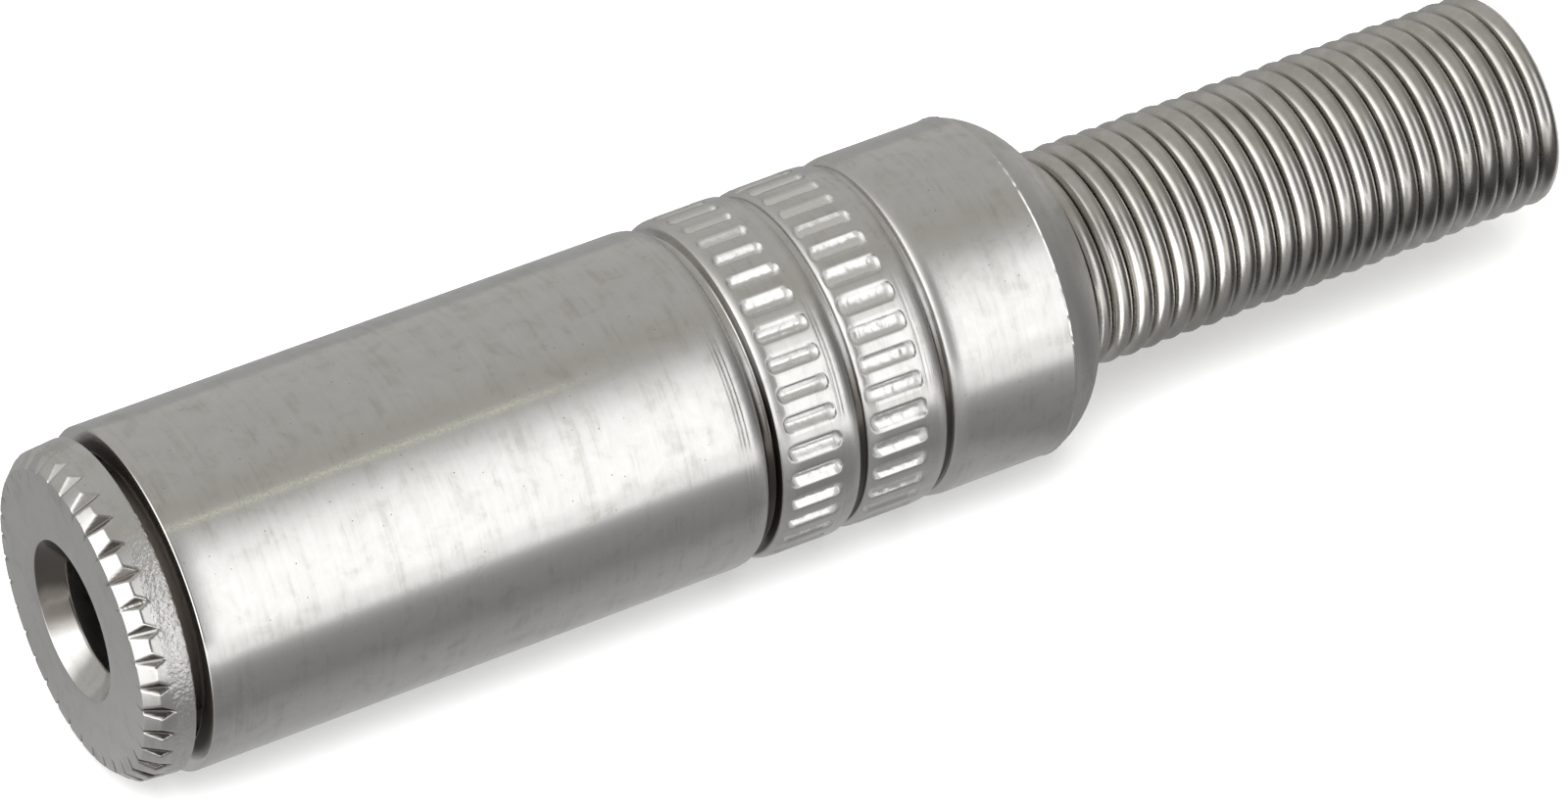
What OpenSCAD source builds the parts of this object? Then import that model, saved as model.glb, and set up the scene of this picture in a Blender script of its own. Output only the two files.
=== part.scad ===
// In-line 3.5 mm stereo jack socket with a metal sleeve and a coil spring strain relief.
// The socket lies on its side: the axis runs along X, the mouth faces -X, the cable end +X.
// Lengths are in millimetres. Stations along the axis are measured from the front face.

/* [Nose] */
// How far the flange stays below the barrel, on the radius
flange_step = 0.15; // [0.05:0.01:0.3]
// Length from the front face to the back of the flange
flange_l = 1.4; // [1.2:0.05:2]
// Length of the bevelled rim behind the front face
rim_l = 0.5; // [0.3:0.05:0.7]
// Width of the bevelled rim, on the radius
rim_w = 0.45; // [0.3:0.05:0.6]
// Number of notches round the rim
notch_count = 36; // [24:1:40]
// Angle between the two sides of a notch
notch_angle = 90; // [70:5:110]
// How far a notch cuts into the front face, on the radius
notch_inset = 0.15; // [0.05:0.01:0.3]
// Station where a notch runs out on the flange
notch_l = 0.95; // [0.7:0.05:1.1]
// Turn of the notches about the axis
notch_turn = -1.8; // [-5:0.1:5]

/* [Mouth] */
// Diameter of the mouth on the front face
mouth_d = 4.7; // [4.2:0.1:5.2]
// Length of the countersink in the mouth
countersink_l = 0.73; // [0.4:0.05:1]
// Diameter of the bore that takes the plug
bore_d = 3.6; // [3.5:0.05:3.8]
// Length of the metal wall from the front face to the end of that bore
bore_l = 4.0; // [3:0.1:5]
// Depth that a plug reaches from the front face
plug_l = 14.0; // [13:0.5:15]

/* [Thread] */
// Length of the threaded shank behind its relief groove
shank_l = 4.6; // [3.5:0.1:6]
// Depth of the relief groove behind the flange, on the radius
relief_depth = 0.45; // [0.3:0.05:0.6]
// Width of the relief groove
relief_l = 1.0; // [0.7:0.1:1.4]
// Gap between the shank and the threaded bore of the barrel, on the radius
thread_clearance = 0.05; // [0.02:0.01:0.1]

/* [Barrel] */
// Wall of the plain front part round the cavity
barrel_wall = 0.9; // [0.8:0.05:1.2]
// How far the cavity lies outside the threaded bore, on the radius
cavity_step = 0.1; // [0.05:0.01:0.2]
// Gap that shows between the flange and the barrel
nose_gap = 0.4; // [0.2:0.05:0.6]
// Length of the plain front part
front_l = 17.3; // [15:0.1:20]
// Height of the two knurled rings above the plain front part
ring_step = 0.03; // [0:0.01:0.2]
// Length of the front knurled ring
ring1_l = 2.55; // [2.2:0.05:3]
// Length of the rear knurled ring
ring2_l = 2.65; // [2.3:0.05:3]
// Width of the groove in front of the front ring
groove1_w = 0.35; // [0.2:0.05:0.6]
// Width of the grooves beside the rear ring
groove_w = 0.15; // [0.1:0.05:0.4]
// Depth of the groove in front of the front ring, on the radius
groove1_depth = 0.4; // [0.2:0.05:0.5]
// Depth of the grooves beside the rear ring, on the radius
groove_depth = 0.3; // [0.15:0.05:0.45]
// Height of the plain rear part above the plain front part
rear_step = 0.06; // [0:0.01:0.2]
// Length of the plain rear part
rear_l = 3.92; // [3:0.1:6]
// Length of the rounded shoulder
shoulder_l = 1.63; // [1:0.1:2.2]
// Flat between the rounded shoulder and the hole for the spring
shoulder_lip = 0.1; // [0.05:0.01:0.2]
// Radius of the rounded shoulder
shoulder_r = 2.6; // [2:0.1:6]
// Thickness of the wall that the spring is trapped behind
back_wall = 2.3; // [2:0.1:2.8]
// Turn of the barrel on its thread
barrel_turn = -3.6; // [-5:0.1:5]

/* [Knurl] */
// Number of slots round each ring
slot_count = 36; // [24:1:40]
// Radius of the tool that cuts a slot
slot_tool_r = 0.3; // [0.2:0.02:0.4]
// Depth of a slot
slot_depth = 0.12; // [0.06:0.02:0.2]
// Length of the slots in the front ring
slot1_l = 1.55; // [1:0.05:1.8]
// Length of the slots in the rear ring
slot2_l = 1.88; // [1:0.05:2]
// Plain margin in front of the slots of the front ring
slot1_margin = 0.27; // [0.2:0.01:0.4]

/* [Spring] */
// Wire diameter
wire_d = 0.66; // [0.5:0.02:0.68]
// Outer diameter of the coils
spring_d = 6.5; // [6:0.05:6.6]
// Length that stands out of the barrel
spring_l = 16.1; // [12:0.1:24]
// Gap between neighbouring coils
coil_gap = 0.02; // [0.01:0.01:0.1]
// Gap between the trapped end coil and the cavity, on the radius
flare_clearance = 0.2; // [0.1:0.01:0.25]
// Gap between the coils and the hole they pass through, on the radius
spring_clearance = 0.1; // [0.05:0.01:0.15]
// Angle round the axis where the wire ends, from below
wire_end_angle = 125; // [0:5:360]

/* [Insulating tube] */
// Wall thickness
tube_wall = 0.3; // [0.2:0.05:0.35]
// Gap between the carrier and the tube, on the radius
carrier_gap = 0.2; // [0.15:0.01:0.3]
// Gap between the tube and the threaded bore it is pushed through, on the radius
tube_clearance = 0.05; // [0.02:0.01:0.1]
// Gap between the end of the shank and the tube
tube_gap = 1.0; // [0.5:0.1:1.5]

/* [Contact carrier] */
// Diameter of the spigot pressed into the nose
spigot_d = 5.2; // [4.9:0.1:5.6]
// Gap between the spigot and the pieces round it, on the radius
spigot_clearance = 0.05; // [0.02:0.01:0.1]
// Diameter of the body
carrier_d = 6.9; // [6.6:0.05:7.6]
// Length of the body
carrier_l = 10.6; // [9.5:0.1:12]
// Extra radius of the body's bore over the bore in the nose
carrier_bore_clearance = 0.25; // [0.15:0.01:0.3]

/* [Contacts] */
// Thickness of the contact strips
contact_t = 0.25; // [0.2:0.05:0.35]
// Width of the contact strips
contact_w = 1.5; // [1.2:0.1:1.8]
// Gap beside a contact strip in its slot
contact_clearance = 0.1; // [0.05:0.01:0.2]
// Depth of the floor that the strips lie on, below the body's surface
contact_depth = 0.7; // [0.65:0.01:0.8]
// Station where the tip contact touches the plug
tip_station = 11.9; // [11.5:0.1:12.2]
// Station where the ring contact touches the plug
ring_station = 8.7; // [8.5:0.1:9.2]
// How far a contact stands inside the plug's surface
contact_press = 0.2; // [0.1:0.05:0.3]
// Length of the solder lugs behind the carrier
lug_l = 4.0; // [3:0.1:4.4]
// Diameter of the hole in a solder lug
lug_hole_d = 0.8; // [0.6:0.1:1]

/* [Ground lug] */
// Sheet thickness
sheet_t = 0.4; // [0.3:0.05:0.5]
// Width of the strip
strip_w = 2.0; // [1.6:0.1:2.4]
// Depth of the strip's inner face below the body's surface
strip_depth = 0.5; // [0.45:0.01:0.6]
// Gap between the strip and the flat on the carrier
strip_clearance = 0.05; // [0.02:0.01:0.1]
// Inner diameter of the cable clamp
clamp_d = 4.4; // [3.6:0.1:4.8]
// Length of the cable clamp
clamp_l = 3.0; // [2:0.1:3.4]
// Angle that the clamp wraps round the cable
clamp_wrap = 210; // [160:5:240]
// Length of the slope between the strip and the clamp
slope_l = 1.2; // [0.8:0.1:1.6]

/* [Hidden] */
$fn = 96;

// Small bevels and overlaps
edge = 0.08;
lead = 0.3;
cut = 0.5;
nickel = "silver";

// Diameters from the carrier outwards: tube, thread, cavity, barrel and nose
tube_r = carrier_d / 2 + carrier_gap + tube_wall;
thread_bore_r = tube_r + tube_clearance;
shank_d = 2 * (thread_bore_r - thread_clearance);
relief_d = shank_d - 2 * relief_depth;
cavity_d = 2 * (thread_bore_r + cavity_step);
barrel_d = cavity_d + 2 * barrel_wall;
ring_d = barrel_d + 2 * ring_step;
rear_d = barrel_d + 2 * rear_step;
flange_d = barrel_d - 2 * flange_step;
face_d = flange_d - 2 * rim_w;
notch_face_d = face_d - 2 * notch_inset;
counterbore_d = spigot_d + 2 * spigot_clearance;
spring_hole_r = spring_d / 2 + spring_clearance;
shoulder_d = 2 * (spring_hole_r + shoulder_lip);
flare_d = cavity_d - 2 * flare_clearance;

// Stations of the nose
shank_z = flange_l + relief_l;
shank_end = shank_z + shank_l;

// Stations of the barrel
barrel_z = flange_l + nose_gap;
groove1_z = barrel_z + front_l;
ring1_z = groove1_z + groove1_w;
ring1_end = ring1_z + ring1_l;
ring2_z = ring1_end + groove_w;
ring2_end = ring2_z + ring2_l;
rear_z = ring2_end + groove_w;
shoulder_z = rear_z + rear_l;
barrel_end = shoulder_z + shoulder_l;
cavity_z = shank_end + nose_gap;
cavity_end = barrel_end - back_wall;

// Stations and radii of the spring's wire
pitch = wire_d + coil_gap;
coil_r = (spring_d - wire_d) / 2;
flare_r = (flare_d - wire_d) / 2;
flare_turns = 0.9;
step_turns = 0.5;
wire_z = cavity_end - wire_d / 2 - coil_gap - (flare_turns + step_turns) * pitch;
spring_end = barrel_end + spring_l;
turns = (spring_end - wire_d / 2 - wire_z) / pitch;
steps_per_turn = 16;
wire_sides = 8;

// Stations of the insulating tube
tube_z = shank_end + tube_gap;
tube_end = wire_z - wire_d / 2 - coil_gap;

// Carrier, contacts and ground lug
ring_z = shank_end;
carrier_z = ring_z + sheet_t;
carrier_end = carrier_z + carrier_l;
carrier_bore_r = bore_d / 2 + carrier_bore_clearance;
carrier_bore_end = plug_l + lead;
plug_r = 1.75;
contact_floor = carrier_d / 2 - contact_depth;
strip_seat = carrier_d / 2 - strip_depth;
contact_y = contact_floor + contact_t / 2;
touch_y = plug_r - contact_press + contact_t / 2;
anchor_z = carrier_bore_end + lead;
lug_end = carrier_end + lug_l;
clamp_z = lug_end + slope_l;
clamp_end = clamp_z + clamp_l;
clamp_r = clamp_d / 2;

total_l = spring_end;
axis_height = barrel_d / 2 + max(ring_step, rear_step);

// Lays a shape modelled along Z down along X, with the middle of its length over the origin
module lay_down() {
  translate([-total_l / 2, 0, axis_height]) rotate([0, 90, 0]) children();
}

// Copies a shape round the axis
module round_axis(count) {
  for (i = [0 : count - 1]) rotate([0, 0, i * 360 / count]) children();
}

// Points on an arc from one point to another that bulges away from the axis
function arc(from, to, r, n = 10) =
  let (
    half = norm(to - from) / 2,
    along = (to - from) / (2 * half),
    centre = (from + to) / 2 - sqrt(r * r - half * half) * [along[1], -along[0]],
    a0 = atan2(from[1] - centre[1], from[0] - centre[0]),
    a1 = atan2(to[1] - centre[1], to[0] - centre[0])
  )
  [for (i = [0 : n]) centre + r * [cos(a0 + (a1 - a0) * i / n), sin(a0 + (a1 - a0) * i / n)]];

// V-shaped cutter whose bottom runs from the front face out to the flange
module rim_notch() {
  run = [(flange_d - notch_face_d) / 2, notch_l];
  spread = tan(notch_angle / 2);
  translate([notch_face_d / 2, 0, 0])
    rotate([0, atan2(run[0], run[1]), 0])
      translate([0, 0, -cut])
        linear_extrude(2 * cut + norm(run))
          polygon([[0, 0], [cut, cut * spread], [cut, -cut * spread]]);
}

// Turned nose with the mouth, the notched rim and the threaded shank
module front_bush() {
  color(nickel) lay_down() difference() {
    rotate_extrude() polygon([
      [mouth_d / 2, 0], [face_d / 2, 0],
      [flange_d / 2, rim_l], [flange_d / 2, flange_l - edge], [flange_d / 2 - edge, flange_l],
      [relief_d / 2, flange_l], [relief_d / 2, shank_z],
      [shank_d / 2, shank_z], [shank_d / 2, shank_end - lead], [shank_d / 2 - lead, shank_end],
      [counterbore_d / 2, shank_end], [counterbore_d / 2, bore_l],
      [bore_d / 2, bore_l], [bore_d / 2, countersink_l]]);
    rotate([0, 0, notch_turn]) round_axis(notch_count) rim_notch();
  }
}

// Row of knurling slots round one ring
module slots(z, l) {
  round_axis(slot_count)
    translate([ring_d / 2 + slot_tool_r - slot_depth, 0, z])
      cylinder(h = l, r = slot_tool_r, $fn = 24);
}

// Turned sleeve with two knurled rings, a rounded shoulder and the threaded front bore
module barrel() {
  front_r = barrel_d / 2;
  ring_r = ring_d / 2;
  rear_r = rear_d / 2;
  color(nickel) lay_down() rotate([0, 0, barrel_turn]) difference() {
    rotate_extrude() polygon(concat(
      [[thread_bore_r, cavity_z], [thread_bore_r, barrel_z + lead], [thread_bore_r + lead, barrel_z],
       [front_r - edge, barrel_z], [front_r, barrel_z + edge], [front_r, groove1_z - lead],
       [front_r - 2 * edge, groove1_z], [front_r - groove1_depth, groove1_z],
       [ring_r - groove1_depth, ring1_z], [ring_r - 2 * edge, ring1_z], [ring_r, ring1_z + 2 * edge],
       [ring_r, ring1_end - lead], [ring_r - edge, ring1_end - lead], [ring_r - edge, ring1_end],
       [ring_r - groove_depth, ring1_end], [ring_r - groove_depth, ring2_z], [ring_r, ring2_z],
       [ring_r, ring2_end - edge], [ring_r - edge, ring2_end], [ring_r - groove_depth, ring2_end],
       [rear_r - groove_depth, rear_z], [rear_r - edge, rear_z], [rear_r, rear_z + edge]],
      arc([rear_r, shoulder_z], [shoulder_d / 2, barrel_end], shoulder_r),
      [[spring_hole_r, barrel_end], [spring_hole_r, cavity_end], [cavity_d / 2, cavity_end],
       [cavity_d / 2, cavity_z]]));
    slots(ring1_z + slot1_margin, slot1_l);
    slots(ring2_z - groove_w / 2, slot2_l);
  }
}

// Radius of the wire's centre line after a number of turns: the trapped end coil is wider
function wire_r(t) =
  let (share = min(1, max(0, (t - flare_turns) / step_turns)))
  flare_r + (coil_r - flare_r) * share * share * (3 - 2 * share);

// Ring of points round the wire after a number of turns
function wire_ring(t) =
  [for (k = [0 : wire_sides - 1])
    let (a = k * 360 / wire_sides, r = wire_r(t) + wire_d / 2 * cos(a))
    let (turn = wire_end_angle + 360 * (t - turns))
    [r * cos(turn), r * sin(turn), wire_z + pitch * t + wire_d / 2 * sin(a)]];

// Close-wound coil spring, one wire from end to end
module strain_relief_spring() {
  rings = ceil(turns * steps_per_turn);
  points = [for (i = [0 : rings]) each wire_ring(turns * i / rings)];
  sides = [for (i = [0 : rings - 1], k = [0 : wire_sides - 1])
    let (a = i * wire_sides + k, b = i * wire_sides + (k + 1) % wire_sides)
    [a, a + wire_sides, b + wire_sides, b]];
  first = [for (k = [0 : wire_sides - 1]) k];
  last = [for (k = [wire_sides - 1 : -1 : 0]) rings * wire_sides + k];
  color("darkgray") lay_down() polyhedron(points, concat(sides, [first, last]));
}

// Tube that keeps the solder lugs off the barrel
module insulating_tube() {
  color("whitesmoke") lay_down() rotate_extrude()
    polygon([[tube_r - tube_wall, tube_z], [tube_r, tube_z], [tube_r, tube_end], [tube_r - tube_wall, tube_end]]);
}

// Slot in the carrier for one contact: open to the bore in front, with a floor at the back
module contact_slot() {
  w = contact_w + 2 * contact_clearance;
  translate([-w / 2, 0, carrier_z + sheet_t]) cube([w, carrier_d, anchor_z - carrier_z - sheet_t]);
  translate([-w / 2, contact_floor, anchor_z - cut]) cube([w, carrier_d, carrier_end - anchor_z + 2 * cut]);
}

// Moulded carrier with the plug's bore, two contact slots and a flat for the ground strip
module contact_carrier() {
  color("dimgray") lay_down() difference() {
    rotate_extrude() polygon([
      [0, carrier_bore_end], [carrier_bore_r, carrier_bore_end], [carrier_bore_r, bore_l + edge],
      [spigot_d / 2, bore_l + edge], [spigot_d / 2, carrier_z], [carrier_d / 2, carrier_z],
      [carrier_d / 2, carrier_end], [0, carrier_end]]);
    contact_slot();
    rotate([0, 0, 180]) contact_slot();
    translate([strip_seat - strip_clearance, -carrier_d, carrier_z - cut])
      cube([carrier_d, 2 * carrier_d, carrier_l + 2 * cut]);
  }
}

// Contact strip with a bent nose at one station, a flat anchor and a solder lug
module contact_strip(station) {
  nose_w = 0.8;
  nose_y = touch_y + (contact_floor - touch_y) / 2;
  path = [[touch_y, station - edge], [touch_y, station + edge], [contact_y, anchor_z], [contact_y, lug_end]];
  tip = [nose_y, station - nose_w];
  color("gold") lay_down() difference() {
    rotate([0, -90, 0]) translate([0, 0, -contact_w / 2]) linear_extrude(contact_w)
      polygon(concat(
        [for (p = concat([tip], path)) [p[1], p[0] - contact_t / 2]],
        [for (i = [len(path) - 1 : -1 : 0]) [path[i][1], path[i][0] + contact_t / 2]],
        [[tip[1], tip[0] + contact_t / 2]]));
    translate([0, 0, lug_end - lug_hole_d]) rotate([-90, 0, 0])
      cylinder(h = carrier_d, d = lug_hole_d, $fn = 24);
  }
}

// Contact that touches the tip of the plug
module tip_contact() {
  contact_strip(tip_station);
}

// Contact that touches the ring of the plug, on the other side of the bore
module ring_contact() {
  mirror([0, 1, 0]) contact_strip(ring_station);
}

// Stamped ground lug: a washer behind the nose, a strip along the carrier and a cable clamp
module ground_lug() {
  outer_r = clamp_r + sheet_t;
  color("gold") lay_down() {
    difference() {
      translate([0, 0, ring_z]) cylinder(h = sheet_t, d = carrier_d);
      translate([0, 0, ring_z - cut]) cylinder(h = sheet_t + 2 * cut, d = counterbore_d);
    }
    rotate([90, 0, 0]) translate([0, 0, -strip_w / 2]) linear_extrude(strip_w)
      polygon([[strip_seat, ring_z], [strip_seat + sheet_t, ring_z], [strip_seat + sheet_t, lug_end],
               [outer_r, clamp_z], [outer_r, clamp_z + sheet_t], [clamp_r, clamp_z + sheet_t],
               [clamp_r, clamp_z], [strip_seat, lug_end]]);
    translate([0, 0, clamp_z])
      rotate([0, 0, -clamp_wrap / 2]) rotate_extrude(angle = clamp_wrap)
        translate([clamp_r, 0]) square([sheet_t, clamp_l]);
  }
}

front_bush();
barrel();
strain_relief_spring();
insulating_tube();
contact_carrier();
tip_contact();
ring_contact();
ground_lug();
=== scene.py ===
"""Dresses an in-line stereo jack socket: nickel nose and sleeve, wound spring and inner parts.

Sizes are millimetres unless a name says otherwise. A station is the distance along the axis from
the front face, and an angle round the axis counts in degrees from below towards the back. Meshes
are made along X about the origin and brought to the frame's metres when they are finished. A range
that fades a look goes from where it is nothing to where it is full, so it may run downwards.
"""
import logging
import math
import random
from dataclasses import dataclass, field
from enum import Enum
from functools import cached_property
from typing import Callable, Iterable, Sequence

import bmesh
import bpy
from bmesh.types import BMesh, BMVert
from bpy.types import ID, Material, Node, NodeSocket, Object
from mathutils import Matrix, Vector, noise


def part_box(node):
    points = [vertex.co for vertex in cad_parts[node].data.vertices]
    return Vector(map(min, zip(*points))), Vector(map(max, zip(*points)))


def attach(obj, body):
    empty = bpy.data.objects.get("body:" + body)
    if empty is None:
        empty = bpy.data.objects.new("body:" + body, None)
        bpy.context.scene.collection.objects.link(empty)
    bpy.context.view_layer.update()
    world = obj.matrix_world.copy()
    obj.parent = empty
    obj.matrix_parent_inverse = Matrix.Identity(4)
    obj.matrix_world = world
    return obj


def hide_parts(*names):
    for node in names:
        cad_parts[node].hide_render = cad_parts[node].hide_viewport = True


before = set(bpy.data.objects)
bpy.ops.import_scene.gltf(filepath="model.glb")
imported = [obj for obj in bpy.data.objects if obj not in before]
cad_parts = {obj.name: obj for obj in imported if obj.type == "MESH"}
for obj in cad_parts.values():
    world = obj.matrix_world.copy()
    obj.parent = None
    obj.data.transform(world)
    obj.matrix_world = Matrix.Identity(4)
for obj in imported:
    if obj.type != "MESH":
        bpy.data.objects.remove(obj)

LOG = logging.getLogger("jack_socket")
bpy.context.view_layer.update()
MM = 0.001
MERGE_DISTANCE = 2e-4
BEVEL_STEPS = 3

Range = tuple[float, float]
Triple = tuple[float, float, float]
Colour = Triple
Corner = Triple


class Body(Enum):
    """Moving bodies of the socket."""

    SOCKET = "socket"
    SLEEVE = "sleeve"
    STRAIN_RELIEF = "strain_relief"


class Slot(Enum):
    """Material slots of the socket."""

    NICKEL = "nickel_plate"
    SPRING = "spring_steel"


@dataclass(frozen=True)
class Axis:
    """Place of the socket's axis in the frame, in metres."""

    front_x: float
    height: float

    @classmethod
    def from_frame(cls) -> "Axis":
        """Reads the axis from the CAD boxes.

        Returns:
            The axis of the barrel, starting at the front face of the nose.
        """
        low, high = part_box("barrel")
        return cls(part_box("front_bush")[0][0], (low[2] + high[2]) / 2)

    def matrix(self) -> Matrix:
        """Returns the matrix from stations in millimetres to the frame's metres."""
        return Matrix.Translation((self.front_x, 0, self.height)) @ Matrix.Scale(MM, 4)


def smooth_step(value: float, low: float = 0.0, high: float = 1.0) -> float:
    """Returns an eased step from 0 at low to 1 at high, where low may be the higher number."""
    share = min(1.0, max(0.0, (value - low) / (high - low)))
    return share * share * (3 - 2 * share)


def soft_min(a: float, b: float, blend: float) -> float:
    """Returns the lower of two values, with the corner between them rounded over blend."""
    share = max(blend - abs(a - b), 0.0) / blend
    return min(a, b) - share * share * blend / 4


@dataclass
class Polar:
    """Point given by its station, its radius and its angle round the axis in degrees."""

    station: float
    radius: float
    angle: float

    @classmethod
    def of(cls, point: Vector) -> "Polar":
        """Returns the polar place of a point."""
        angle = math.degrees(math.atan2(point.y, -point.z)) % 360
        return cls(point.x, math.hypot(point.y, point.z), angle)

    def facing(self, angle: float) -> float:
        """Returns how far the place looks in a direction round the axis: 1 to it, -1 away."""
        return math.cos(math.radians(self.angle - angle))

    def within(self, low: float, high: float, inner: float) -> bool:
        """Returns whether the place lies between two stations and outside a radius."""
        return low < self.station < high and self.radius > inner

    def point(self) -> Vector:
        """Returns the point in space."""
        turn = math.radians(self.angle)
        return Vector((self.station, self.radius * math.sin(turn), -self.radius * math.cos(turn)))


class NodeGraph:
    """Short way to add and join shader nodes of one material or world."""

    def __init__(self, owner: ID) -> None:
        """Empties the owner's node tree.

        Args:
            owner: Material or world that gets the nodes.
        """
        owner.use_nodes = True
        self.tree = owner.node_tree
        self.tree.nodes.clear()

    def add(self, kind: str, inputs: dict | None = None, **settings: object) -> Node:
        """Adds a node.

        Args:
            kind: Node type without its ShaderNode prefix.
            inputs: Value or joined output socket for each input, by name or number.
            settings: Properties of the node.

        Returns:
            The new node.
        """
        node = self.tree.nodes.new("ShaderNode" + kind)
        for name, value in settings.items():
            setattr(node, name, value)
        for key, value in (inputs or {}).items():
            if isinstance(value, NodeSocket):
                self.tree.links.new(value, node.inputs[key])
            else:
                node.inputs[key].default_value = value
        return node

    def math(self, operation: str, *values: object) -> NodeSocket:
        """Adds a math node and returns its output."""
        return self.add("Math", dict(enumerate(values)), operation=operation).outputs[0]

    def span(self, value: object, low: float, high: float, to_low: float, to_high: float,
             ) -> NodeSocket:
        """Maps a value from one range to another, held at the ends.

        Args:
            value: Output socket to map.
            low: Lower end of the value.
            high: Upper end of the value.
            to_low: Result at the lower end.
            to_high: Result at the upper end.

        Returns:
            The mapped output.
        """
        node = self.add("MapRange", {0: value, 1: low, 2: high, 3: to_low, 4: to_high})
        return node.outputs[0]

    def ramp(self, value: object, stops: Sequence[tuple[float, Colour]]) -> NodeSocket:
        """Adds a colour ramp.

        Args:
            value: Output socket that runs along the ramp.
            stops: Place and colour of each stop, in order.

        Returns:
            The colour output.
        """
        node = self.add("ValToRGB", {0: value})
        stops_in = node.color_ramp.elements
        for place, _ in stops[2:]:
            stops_in.new(place)
        for element, (place, colour) in zip(stops_in, stops):
            element.position = place
            element.color = (*colour, 1)
        return node.outputs[0]

    def mix(self, share: object, first: object, second: object) -> NodeSocket:
        """Mixes two colours and returns the colour output."""
        return self.add("Mix", {0: share, 6: first, 7: second}, data_type="RGBA").outputs[2]

    def millimetres(self) -> NodeSocket:
        """Returns object coordinates in millimetres."""
        coords = self.add("TexCoord").outputs["Object"]
        return self.add("Mapping", {"Vector": coords, "Scale": (1 / MM,) * 3}).outputs[0]

    def noise(self, vector: object, scale: float, detail: float = 3.0, **inputs: float,
              ) -> NodeSocket:
        """Adds a noise texture with so many cells a millimetre and returns its value."""
        named = {"vector": vector, "scale": scale, "detail": detail, **inputs}
        return self.add("TexNoise", {key.capitalize(): named[key] for key in named}).outputs[0]

    def bump(self, height: object, depth_mm: float, strength: object = 1.0,
             normal: object = None) -> NodeSocket:
        """Adds a bump.

        Args:
            height: Output socket with the height.
            depth_mm: Depth for a height of one.
            strength: Share of the bump that shows.
            normal: Normal of a bump below this one.

        Returns:
            The new normal.
        """
        inputs = {"Height": height, "Distance": depth_mm * MM, "Strength": strength}
        if normal is not None:
            inputs["Normal"] = normal
        return self.add("Bump", inputs).outputs[0]

    def finish(self, shader: Node, output: str = "OutputMaterial") -> None:
        """Joins the last shader to the output."""
        self.add(output, {"Surface": shader.outputs[0]})


@dataclass(frozen=True)
class NickelPlate:
    """Bright nickel over turned brass: cloudy grain, turning lines and small pits."""

    light: Colour = (0.66, 0.652, 0.638)
    plain: Colour = (0.625, 0.617, 0.6)
    dull: Colour = (0.528, 0.517, 0.482)
    # Dull brown painted shade for the gap in the relief groove, where the plate is no metal.
    painted_gap_shade: Colour = (0.15, 0.125, 0.108)
    # Dark tone for painted shade in the notches and grooves, and for a painted dark reflection in the
    # mouth.
    painted_shade: Colour = (0.075, 0.063, 0.053)
    streak: Colour = (0.86, 0.87, 0.74)
    bare: Colour = (0.86, 0.853, 0.838)
    pit: Colour = (0.3, 0.28, 0.25)
    tones: Triple = (0.34, 0.48, 0.64)
    roughness: float = 0.17
    cloud_scale: float = 1.3
    cloud_share: float = 0.6
    grain_scale: float = 16.0
    grain_depth: float = 0.0009
    line_scale: float = 26.0
    line_depth: float = 0.0016
    line_stretch: float = 0.04
    stripe_scale: float = 5.0
    pit_scale: float = 2.4
    pit_size: float = 0.06
    floor_scale: float = 8.8
    floor_depth: float = 0.036

    def build(self, name: str) -> Material:
        """Makes the material.

        Args:
            name: Name of the material.

        Returns:
            The material. It reads the mesh attributes "knurl", "turned", "recess", "soot", "satin",
            "streak" and "bare".
        """
        material = bpy.data.materials.new(name)
        graph = NodeGraph(material)
        place = graph.millimetres()
        knurl, turned, deep, painted_shade, satin, streak, bare = (
            graph.add("Attribute", attribute_name=key).outputs["Fac"]
            for key in ("knurl", "turned", "painted_gap_shade", "painted_shade", "satin", "streak", "bare"))
        cloud = graph.noise(place, self.cloud_scale, 6.0, roughness=0.62, distortion=0.5)
        grain = graph.noise(place, self.grain_scale, 4.0, roughness=0.6)
        around = (1, self.line_stretch, self.line_stretch)
        flat = graph.add("Mapping", {"Vector": place, "Scale": around}).outputs[0]
        lines = graph.noise(flat, self.line_scale, roughness=0.7)
        stripes = graph.noise(flat, self.stripe_scale, 4.0, roughness=0.7)
        cells = graph.add("TexVoronoi", {"Vector": place, "Scale": self.pit_scale})
        pits = graph.span(cells.outputs["Distance"], self.pit_size * 0.5, self.pit_size, 1, 0)
        mottle = graph.math("MULTIPLY_ADD", cloud, self.cloud_share,
                            graph.math("MULTIPLY", stripes, 1 - self.cloud_share))
        colour = graph.ramp(mottle, list(zip(self.tones, (self.dull, self.plain, self.light))))
        streak = graph.math("MULTIPLY", streak, graph.span(grain, 0.35, 0.6, 0.1, 1.0))
        # Two of these shares are painted shade: a dull brown in the relief groove's gap, and a dark tone
        # in the mouth, the notches and the grooves.
        for share, shade in ((pits, self.pit), (deep, self.painted_gap_shade), (painted_shade, self.painted_shade),
                             (streak, self.streak), (bare, self.bare)):
            colour = graph.mix(share, colour, (*shade, 1))
        rough = graph.span(mottle, self.tones[0], self.tones[-1], self.roughness + 0.05,
                           self.roughness - 0.04)
        for share, more in ((knurl, 0.1), (pits, 0.3), (deep, 0.3), (satin, 0.33), (streak, 0.15),
                            (bare, 0.1)):
            rough = graph.math("MULTIPLY_ADD", share, more, rough)
        normal = graph.bump(grain, self.grain_depth)
        normal = graph.bump(lines, self.line_depth, turned, normal)
        coarse = graph.noise(place, self.floor_scale)
        normal = graph.bump(coarse, self.floor_depth, knurl, normal)
        # The gap's painted shade is laid as a dull brown that is no metal.
        shader = graph.add("BsdfPrincipled", {
            "Base Color": colour, "Metallic": graph.math("SUBTRACT", 1.0, deep), "Roughness": rough,
            "Normal": normal})
        graph.finish(shader)
        return material


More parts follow.
